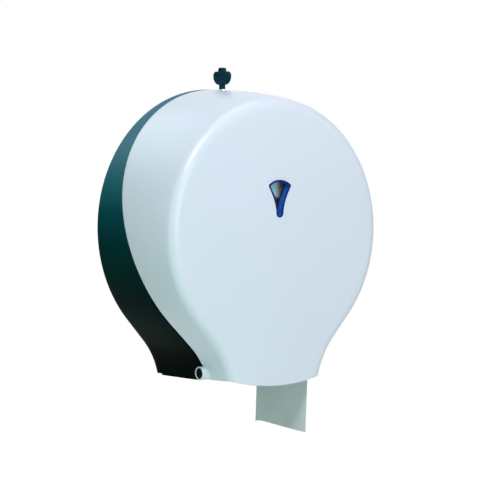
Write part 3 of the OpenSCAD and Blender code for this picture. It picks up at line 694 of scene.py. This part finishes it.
def front_cover():
    ob = cover_sheet()
    shell = ob.modifiers.new("wall", "SOLIDIFY")
    shell.thickness = WALL_T
    shell.offset = -1
    shell.use_even_offset = True
    applied(ob)
    edge = ob.modifiers.new("edges", "BEVEL")
    edge.width = EDGE_R
    edge.segments = 3
    edge.limit_method = "ANGLE"
    edge.angle_limit = math.radians(50)
    applied(ob)
    wall_x = neck_x(HINGE_Z) - taper(HINGE_DEPTH) - WALL_T
    parts = []
    for side in (-1, 1):
        profile = rounded([(wall_x - 1 * MM, 1 * MM), (BARREL_END, 1 * MM),
                           (BARREL_END, BARREL_R), (wall_x - 1 * MM, BARREL_R)], 0.35 * MM)
        tube = turned("barrel", [(side * a, r) for a, r in profile], "x", (0, -HINGE_DEPTH, HINGE_Z), 72)
        parts.append(tube)
    top = lock_top()
    parts.append(prism("boss", circle(BOSS_R, (0, -LOCK_DEPTH)), top - BOSS_T, top - WALL_T / 2, "z"))
    cut(ob, parts, "UNION")
    holes = []
    for side in (-1, 1):
        axle = (-HINGE_DEPTH, HINGE_Z)
        ends = sorted([side * (wall_x - 2 * MM), side * (BARREL_END + 1 * MM)])
        holes.append(prism("hole", circle(PIN_R, axle, 48), *ends, "x"))
        ends = sorted([side * (BARREL_END - HOLLOW_L), side * (BARREL_END + 1 * MM)])
        holes.append(prism("hole", circle(HOLLOW_R, axle, 64), *ends, "x"))
    low = top - BOSS_T - 1 * MM
    holes.append(prism("hole", circle(SLEEVE_R, (0, -LOCK_DEPTH)), low, top + 5 * MM, "z"))
    holes.append(prism("hole", circle(SLEEVE_RIM_R, (0, -LOCK_DEPTH)),
                       top - SLEEVE_RIM_H / 2, top + 5 * MM, "z"))
    holes.append(prism("hole", window_loop(SET_GAP), CASE_DEPTH / 2, CASE_DEPTH + DOME_H + TRIM, "y"))
    cut(ob, holes)
    smooth(ob)
    dress(ob, cover_mat)
    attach(ob, "cover")
    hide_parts("front_cover")
    return ob


# ======== Rear housing ========

def case_ring(depth, inset, columns=150, under=24):
    """A closed ring round the case, with a half round below its bottom edge. depth may depend on z."""
    u = np.linspace(0, HALF_LEN, columns + 1)
    d = depth(outline(u)[1]) if callable(depth) else depth
    right = place(u, d, taper(d) + inset)
    last = right[-1]
    a = np.linspace(0, math.pi, under + 1)[1:-1]
    below = np.stack([last[0] * np.cos(a), last[1] + 0 * a, last[2] - last[0] * np.sin(a)], axis=1)
    return np.concatenate([right, below, right[:0:-1] * [-1, 1, 1]])


def housing_skin():
    lip = LIP_WALL + LIP_T

    def inner(back, share, inset):
        return case_ring(lambda z: seam(z) - np.minimum(back, (seam(z) - PLATE_T) * share), inset)

    def level(s, step, inset):
        return case_ring(lambda z: seam(z) * s + step, inset)

    rings = [case_ring(PLATE_T, WALL_T + HOLD), case_ring(PLATE_T, WALL_T),
             inner(5 * MM, 0.67, WALL_T), inner(2 * MM, 0.33, lip),
             level(1, LIP_LEN - 0.4 * MM, lip), level(1, LIP_LEN, lip - 0.4 * MM),
             level(1, LIP_LEN, LIP_WALL + 0.4 * MM), level(1, LIP_LEN - 0.4 * MM, LIP_WALL),
             level(1, 0, LIP_WALL)]
    for a in np.linspace(0, math.pi / 2, 5):
        rings.append(level(1, -EDGE_R * (1 - math.cos(a)), EDGE_R * (1 - math.sin(a))))
    rings += [level(s, 0, 0) for s in np.linspace(0.92, 0.1, 12)]
    rings += [case_ring(BACK_R * (1 - math.sin(a)), BACK_R * (1 - math.cos(a)))
              for a in np.linspace(0, math.pi / 2, 4)]
    rings.append(case_ring(0, BACK_R + HOLD))
    return skin("housing_shell", rings)


def slab(name, low, high):
    """A plain block between two corners, for cuts."""
    return prism(name, box_loop(low[0], low[1], high[0], high[1]), low[2], high[2], "z")


def edged(ob, width, segments=3, angle=40):
    """The object with its sharp edges rounded."""
    edge = ob.modifiers.new("edges", "BEVEL")
    edge.width = width
    edge.segments = segments
    edge.limit_method = "ANGLE"
    edge.angle_limit = math.radians(angle)
    return applied(ob)


def x_prism(name, loop, side, near, far):
    """A prism along X between two distances from the middle, on one side of the case."""
    return prism(name, loop, *sorted([side * near, side * far]), "x")


def rear_housing():
    ob = housing_skin()
    wide, floor_z, low_z = 2 * CASE_R, -CASE_DROP - HOUSING_STEP, -CASE_DROP - 2 * CASE_R
    cuts = [slab("trim", (-wide, -wide, low_z), (wide, TRIM, floor_z)),
            slab("trim", (-wide, -BACK_STEP, low_z), (wide, TRIM, -CASE_DROP))]
    notch = [(-HINGE_DEPTH + NOTCH_R * math.cos(a), HINGE_Z + NOTCH_R * math.sin(a))
             for a in np.linspace(0, math.pi, 49)]
    notch += [(-HINGE_DEPTH - NOTCH_R, low_z), (-HINGE_DEPTH + NOTCH_R, low_z)]
    cuts += [x_prism("notch", notch, side, EAR_X - EAR_T, wide) for side in (-1, 1)]
    break_low = CASE_R - LIP_WALL - 2 * LIP_T - 1 * MM
    cuts.append(slab("break", (-BOSS_R - 2 * MM, -LOCK_DEPTH, break_low),
                     (BOSS_R + 2 * MM, -SEAM_TOP - 0.01 * MM, break_low + 2 * LIP_T + 1.6 * MM)))
    cut(ob, cuts)
    web_depth = HINGE_DEPTH - EAR_CLEAR
    ear_top, ear_low = HINGE_Z + HINGE_RISE + 1 * MM, HINGE_Z - HINGE_RISE
    adds = []
    for side in (-1, 1):
        heights = np.linspace(ear_low, ear_top, 9)
        web = [(side * EAR_X, ear_top), (side * EAR_X, ear_low)]
        web += [(side * (neck_x(z) - taper(web_depth) - WALL_T / 2), z) for z in heights]
        adds.append(edged(prism("web", web, PLATE_T / 2, web_depth, "y"), EDGE_R))
        a = np.linspace(-math.pi / 2, math.pi / 2, 33)
        ear = [(-HINGE_DEPTH - HINGE_RISE * math.cos(t), HINGE_Z - HINGE_RISE * math.sin(t)) for t in a[::-1]]
        ear += [(1 * MM - web_depth, ear_low), (1 * MM - web_depth, ear_low + 2 * HINGE_RISE)]
        adds.append(edged(x_prism("ear", ear, side, EAR_X, EAR_X + EAR_T), EDGE_R))
    for x in (-WALL_SPAN_X / 2, WALL_SPAN_X / 2):
        for z in (-WALL_SPAN_Z / 2, WALL_SPAN_Z / 2):
            face = -PLATE_T - WALL_PAD_H
            pad = rounded([(-PLATE_T / 2, 1 * MM), (face, 1 * MM), (face, WALL_PAD_R),
                           (-PLATE_T / 2, WALL_PAD_R)], 0.6 * MM)
            adds.append(turned("pad", pad, "y", (x, 0, z), 64))
    cut(ob, adds, "UNION")
    holes = []
    for x in (-WALL_SPAN_X / 2, WALL_SPAN_X / 2):
        for z in (-WALL_SPAN_Z / 2, WALL_SPAN_Z / 2):
            holes.append(prism("hole", circle(WALL_HOLE_R, (x, z), 48),
                               -1 * MM, PLATE_T + WALL_PAD_H + 1 * MM, "y"))
    axle = (-HINGE_DEPTH, HINGE_Z)
    for side in (-1, 1):
        holes.append(x_prism("hole", circle(PIN_R, axle, 48), side, EAR_X - 1 * MM, EAR_X + EAR_T + 1 * MM))
    cut(ob, holes)
    smooth(ob)
    dress(ob, housing_mat)
    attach(ob, "housing")
    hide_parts("rear_housing")
    return ob


# ======== Window insert ========

def window_lens():
    """A deep tray in the window's outline, with a flange behind the cover."""
    low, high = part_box("window_lens")
    ring_low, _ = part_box("window_retainer")
    front, back, flange_front = -low.y, -high.y, -ring_low.y
    flange_back = flange_front - WINDOW_FLANGE_T
    r = 0.6 * MM
    turns = np.linspace(0, math.pi / 2, 5)
    path = [(-r * (1 - math.sin(a)), back + r * (1 - math.cos(a))) for a in turns]
    path += [(0, flange_back), (WINDOW_FLANGE, flange_back), (WINDOW_FLANGE, flange_front), (0, flange_front)]
    path += [(-r * (1 - math.cos(a)), front - r * (1 - math.sin(a))) for a in turns]
    path += [(-WINDOW_T + r * (1 - math.sin(a)), front - r * (1 - math.cos(a))) for a in turns]
    inner = 1.2 * MM
    floor_depth = back + WINDOW_T
    path += [(-WINDOW_T - inner * (1 - math.cos(a)), floor_depth + inner * (1 - math.sin(a))) for a in turns]
    rings = []
    for g, depth in path:
        loop = window_loop(g)
        rings.append(np.stack([loop[:, 0], 0 * loop[:, 0] - depth, loop[:, 1]], axis=1))
    ob = smooth(skin("window_tray", rings), 40)
    dress(ob, window_mat)
    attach(ob, "cover")
    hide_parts("window_lens")
    return ob


# ======== Key ========

def key_head_loop(g, head_low, steps=14):
    """Shield-shaped head, (y, z): it swells up from the shank and rounds over at the shoulders."""
    half_w, foot, top = KEY_W / 2 - g, max(0.5 * MM, KEY_SHANK_R - g), KEY_H - g
    shoulder = KEY_H * 0.66
    t = np.linspace(0, math.pi / 2, steps + 1)
    lower = [(foot + (half_w - foot) * math.sin(a), g + (shoulder - g) * (1 - math.cos(a))) for a in t]
    upper = [(half_w * (1 - 0.38 * (1 - math.cos(a))), shoulder + (top - shoulder) * math.sin(a))
             for a in t[1:]]
    half = np.array(lower + upper)
    left = half[::-1] * [-1, 1]
    return np.concatenate([half, left]) + [-LOCK_DEPTH, head_low]


def key():
    low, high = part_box("key")
    head_low = high.z - EYELET_R - EYELET_R / 3 - KEY_H
    loop = key_head_loop(0.15 * MM, head_low)
    ob = edged(prism("key_body", loop, -KEY_T / 2, KEY_T / 2, "x"), 0.8 * MM, 4, 50)
    eyelet_z = head_low + KEY_H + EYELET_R / 3
    half = EYELET_W / 2
    eyelet = [(-half, 0.2 * MM), (half, 0.2 * MM), (half, EYELET_R), (-half, EYELET_R)]
    tube = turned("eyelet", rounded(eyelet, 0.5 * MM),
                  "x", (0, -LOCK_DEPTH, eyelet_z), 48)
    shank = prism("shank", circle(KEY_SHANK_R, (0, -LOCK_DEPTH), 48), low.z, head_low + 1 * MM, "z")
    cut(ob, [tube, shank], "UNION")
    holes = []
    for side in (-1, 1):
        dish = key_head_loop(KEY_W / 8, head_low)
        near, far = sorted([side * (KEY_T / 2 - KEY_DISH), side * (KEY_T / 2 + 1 * MM)])
        holes.append(edged(prism("dish", dish, near, far, "x"), 0.7 * MM, 4, 50))
    holes.append(prism("bore", circle(EYELET_HOLE_R, (-LOCK_DEPTH, eyelet_z), 48), -EYELET_W, EYELET_W, "x"))
    fork = KEY_SLOT_W / 2
    holes.append(slab("fork", (-2 * KEY_SHANK_R, -LOCK_DEPTH - fork, low.z - 1 * MM),
                      (2 * KEY_SHANK_R, -LOCK_DEPTH + fork, head_low + 0.6 * MM)))
    cut(ob, holes)
    mesh_size = ob.modifiers.new("even", "REMESH")
    mesh_size.mode = "VOXEL"
    mesh_size.voxel_size = 0.22 * MM
    soft = ob.modifiers.new("soft", "SMOOTH")
    soft.factor = 0.5
    soft.iterations = 3
    applied(ob)
    smooth(ob, 60)
    dress(ob, key_mat)
    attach(ob, "key")
    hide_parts("key")
    return ob


# ======== Paper ========

def paper_roll():
    """The roll, with rounded edges and the ends of its layers standing out by turns."""
    low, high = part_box("paper_roll")
    _, core_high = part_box("roll_core")
    roll_r, hole_r = high.x, core_high.x + 0.05 * MM
    layers = 34
    rng = np.random.default_rng(7)
    radii = np.linspace(hole_r, roll_r - 1.2 * MM, 2 * layers)
    sink = rng.uniform(0, 0.25, layers) * MM
    near, far = high.y, low.y

    def end(face, way):
        path = []
        for i, r in enumerate(radii):
            path.append((face + way * sink[i // 2] * (1 if 0 < i < len(radii) - 1 else 0), r))
        return path

    round_r = 1.2 * MM
    turns = np.linspace(0, math.pi / 2, 5)[1:]
    profile = end(near, -1)
    profile += [(near - round_r * (1 - math.cos(a)), roll_r - round_r * (1 - math.sin(a))) for a in turns]
    profile += [(far + round_r * (1 - math.sin(a)), roll_r - round_r * (1 - math.cos(a))) for a in turns]
    profile += end(far, 1)[::-1]
    ob = smooth(turned("paper_layers", profile, "y", (0, 0, 0), 180), 30)
    dress(ob, roll_mat)
    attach(ob, "roll")
    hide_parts("paper_roll")
    return ob


def unit(v):
    return v / np.linalg.norm(v)


def tail_path(w, roll_r):
    """Path of the tail in X and Z, at a share w of the way from its wall side to its front side."""
    bend_at = np.array([TAIL_X - TAIL_TWIST * w, -CASE_DROP + BLADE_H + BEND * 0.75])
    r = roll_r + SOFT_GAP + TAIL_T
    a = math.atan2(bend_at[1], bend_at[0]) + math.acos(r / np.linalg.norm(bend_at))
    start = r * np.array([math.cos(a), math.sin(a)])
    sway = TAIL_SWAY * math.sin(math.pi * math.sqrt(w)) * (1 - w) - TAIL_DIP * w
    end = np.array([bend_at[0] - TAIL_LEAN, -CASE_DROP - TAIL_HANG + sway])
    a, b = bend_at + BEND * unit(start - bend_at), bend_at + BEND * unit(end - bend_at)
    path = [start + (a - start) * t for t in np.linspace(0, 1, 7)[:-1]]
    path += [(1 - t) ** 2 * a + 2 * t * (1 - t) * bend_at + t ** 2 * b for t in np.linspace(0, 1, 15)]
    path += [b + (end - b) * t for t in np.linspace(0, 1, 13)[1:]]
    return np.array(path)


def paper_tail():
    """The free end of the paper: it leaves the roll, bends over into the outlet and hangs down."""
    low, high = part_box("paper_roll")
    columns = 48
    rows = []
    for j in range(columns + 1):
        w = j / columns
        path = tail_path(w, high.x)
        back = np.roll(path, 1, axis=0)
        ahead = np.roll(path, -1, axis=0)
        back[0], ahead[-1] = path[0], path[-1]
        along = ahead - back
        along /= np.linalg.norm(along, axis=1)[:, None]
        outwards = np.stack([-along[:, 1], along[:, 0]], axis=1)
        depth = -high.y + (high.y - low.y) * w
        # Soft waves across the free part, which die away at its edges
        s = np.linspace(0, 1, len(path))
        wave = TAIL_WAVE * np.sin(3 * math.pi * w + 1.5 * s) * s ** 2
        mid = path - outwards * (TAIL_T / 2) + outwards * wave[:, None]
        rows.append((mid, outwards, depth))
    half = TAIL_T / 2 * 0.8
    outer = [np.stack([m[:, 0] + half * o[:, 0], 0 * m[:, 0] - d, m[:, 1] + half * o[:, 1]], axis=1)
             for m, o, d in rows]
    inner = [np.stack([m[:, 0] - half * o[:, 0], 0 * m[:, 0] - d, m[:, 1] - half * o[:, 1]], axis=1)
             for m, o, d in rows]
    n = len(outer[0])
    points = np.concatenate(outer + inner)
    flip = (columns + 1) * n
    faces = []
    for j in range(columns):
        for i in range(n - 1):
            a, b, c, d = j * n + i, (j + 1) * n + i, (j + 1) * n + i + 1, j * n + i + 1
            faces += [(a, b, c, d), (flip + d, flip + c, flip + b, flip + a)]
    for i in range(n - 1):
        for j, turn in ((0, 1), (columns, -1)):
            a, b = j * n + i, j * n + i + 1
            faces.append((a, b, flip + b, flip + a)[::turn])
    for j in range(columns):
        for i, turn in ((0, -1), (n - 1, 1)):
            a, b = j * n + i, (j + 1) * n + i
            faces.append((a, b, flip + b, flip + a)[::turn])
    ob = smooth(face_outwards(new_object("hanging_paper", points, faces)), 60)
    dress(ob, paper_mat)
    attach(ob, "housing")
    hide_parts("paper_tail")
    middle = tail_path(0.5, high.x)
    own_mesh(ob)
    return ob


# ======== The CAD nodes that stay ========

def dress_nodes():
    finish = {"window_retainer": ring_mat, "friction_washer": nylon_mat, "roll_core": card_mat,
              "hinge_pin_left": black_mat, "hinge_pin_right": black_mat, "spindle": hub_mat, "core_hub": hub_mat,
              "lock_sleeve": chrome_mat, "lock_plug": chrome_mat,
              "tear_blade_left": blade_mat, "tear_blade_right": blade_mat}
    for name, ob in nodes.items():
        mat = finish.get(name, steel_mat)
        if not ob.material_slots:
            ob.data.materials.append(mat)
        for material_slot in ob.material_slots:
            material_slot.material = mat


front_cover()
rear_housing()
window_lens()
key()
paper_roll()
paper_tail()
dress_nodes()


# ======== Floor, light and camera ========

FLOOR_LIFT = 0.87  # white that the floor shows on top of its light, so that it meets the background unseen


def camera():
    """Camera at the object's front left, a little above its middle."""
    bearing = 0.67
    height = 0.0475
    roll = 0.0038
    distance = 2.265
    target = Vector((-0.0032, -0.057, -0.0138))
    focal_px = 2260.0
    frame_px = 480.0
    data = bpy.data.cameras.new("camera")
    data.sensor_width = 36
    data.lens = focal_px / frame_px * data.sensor_width
    ob = bpy.data.objects.new("camera", data)
    bpy.context.scene.collection.objects.link(ob)
    forward = Vector((math.sin(bearing) * math.cos(height), math.cos(bearing) * math.cos(height),
                      -math.sin(height)))
    right = forward.cross(Vector((0, 0, 1))).normalized()
    up = right.cross(forward)
    tilted_right = right * math.cos(roll) + up * math.sin(roll)
    tilted_up = up * math.cos(roll) - right * math.sin(roll)
    turn = Matrix((tilted_right, tilted_up, -forward)).transposed()
    ob.matrix_world = Matrix.Translation(target - forward * distance) @ turn.to_4x4()
    bpy.context.scene.camera = ob


def lamp(name, place_at, aim, size, power, colour=(1, 1, 1)):
    data = bpy.data.lights.new(name, "AREA")
    data.shape = "RECTANGLE"
    data.size, data.size_y = size
    data.energy = power
    data.color = colour
    ob = bpy.data.objects.new(name, data)
    bpy.context.scene.collection.objects.link(ob)
    ob.location = place_at
    ob.rotation_euler = (Vector(aim) - Vector(place_at)).to_track_quat("-Z", "Y").to_euler()
    return ob


def seen_rays(tree):
    """1 for camera, mirror and glass rays, and 0 for the rest."""
    path = tree.nodes.new("ShaderNodeLightPath")
    seen = path.outputs["Is Camera Ray"]
    for kind in ("Is Glossy Ray", "Is Transmission Ray"):
        either = tree.nodes.new("ShaderNodeMath")
        either.operation = "MAXIMUM"
        tree.links.new(seen, either.inputs[0])
        tree.links.new(path.outputs[kind], either.inputs[1])
        seen = either.outputs[0]
    return seen


def seen_white(tree, colour_in, strength_in, colour, strength):
    """White for camera, mirror and glass rays, and the plain light for the rest."""
    seen = seen_rays(tree)
    tone = tree.nodes.new("ShaderNodeMix")
    tone.data_type = "RGBA"
    tone.inputs["A"].default_value = (*colour, 1)
    tone.inputs["B"].default_value = (1, 1, 1, 1)
    tree.links.new(seen, tone.inputs["Factor"])
    tree.links.new(tone.outputs["Result"], colour_in)
    level = tree.nodes.new("ShaderNodeMix")
    level.inputs["A"].default_value = strength
    level.inputs["B"].default_value = 1.0
    tree.links.new(seen, level.inputs["Factor"])
    tree.links.new(level.outputs["Result"], strength_in)


def world():
    w = bpy.data.worlds.new("studio")
    bpy.context.scene.world = w
    w.use_nodes = True
    back = w.node_tree.nodes["Background"]
    seen_white(w.node_tree, back.inputs["Color"], back.inputs["Strength"], (0.85, 1.0, 0.90), 0.06)


def floor():
    size, level = 6.0, HOUSING_LOW.z - 0.45
    corners = [(-size, -size, level), (size, -size, level), (size, size, level), (-size, size, level)]
    ob = new_object("floor", corners,
                    [(0, 1, 2, 3)])
    mat, tree, shader = material("floor_pale")
    shade = noise(tree, 2, 2)
    tree.links.new(two_tone(tree, shade, (0.88, 0.88, 0.88), (0.9, 0.9, 0.9)), shader.inputs["Base Color"])
    shader.inputs["Roughness"].default_value = 0.9
    shader.inputs["Emission Color"].default_value = (1, 1, 1, 1)
    lift = tree.nodes.new("ShaderNodeMath")
    lift.operation = "MULTIPLY"
    lift.inputs[1].default_value = FLOOR_LIFT
    tree.links.new(seen_rays(tree), lift.inputs[0])
    tree.links.new(lift.outputs[0], shader.inputs["Emission Strength"])
    dress(ob, mat)


camera()
world()
floor()
lamp("key", (-0.9, -1.2, 1.7), (0, 0, 0), (0.8, 0.8), 29, (1.0, 0.82, 1.0))
lamp("front", (-0.6, -2.0, 0.3), (0, 0, 0), (1.2, 1.2), 12.2, (0.76, 1.0, 0.99))
lamp("right", (1.4, -1.5, 0.6), (0, 0, 0), (1.0, 1.0), 6, (1.0, 0.70, 0.82))
lamp("back", (-0.35, 1.3, 1.15), (0, 0, 0), (1.2, 0.8), 4.5, (0.72, 0.98, 1.0))
lamp("top", (0.3, -0.2, 2.0), (0, 0, 0), (1.0, 1.0), 8, (0.74, 0.94, 1.0))
lamp("low", (-1.6, -0.5, -0.35), (0, 0, -0.1), (0.8, 0.8), 2.0, (0.10, 1.0, 0.35))
bpy.context.scene.view_settings.view_transform = "Standard"
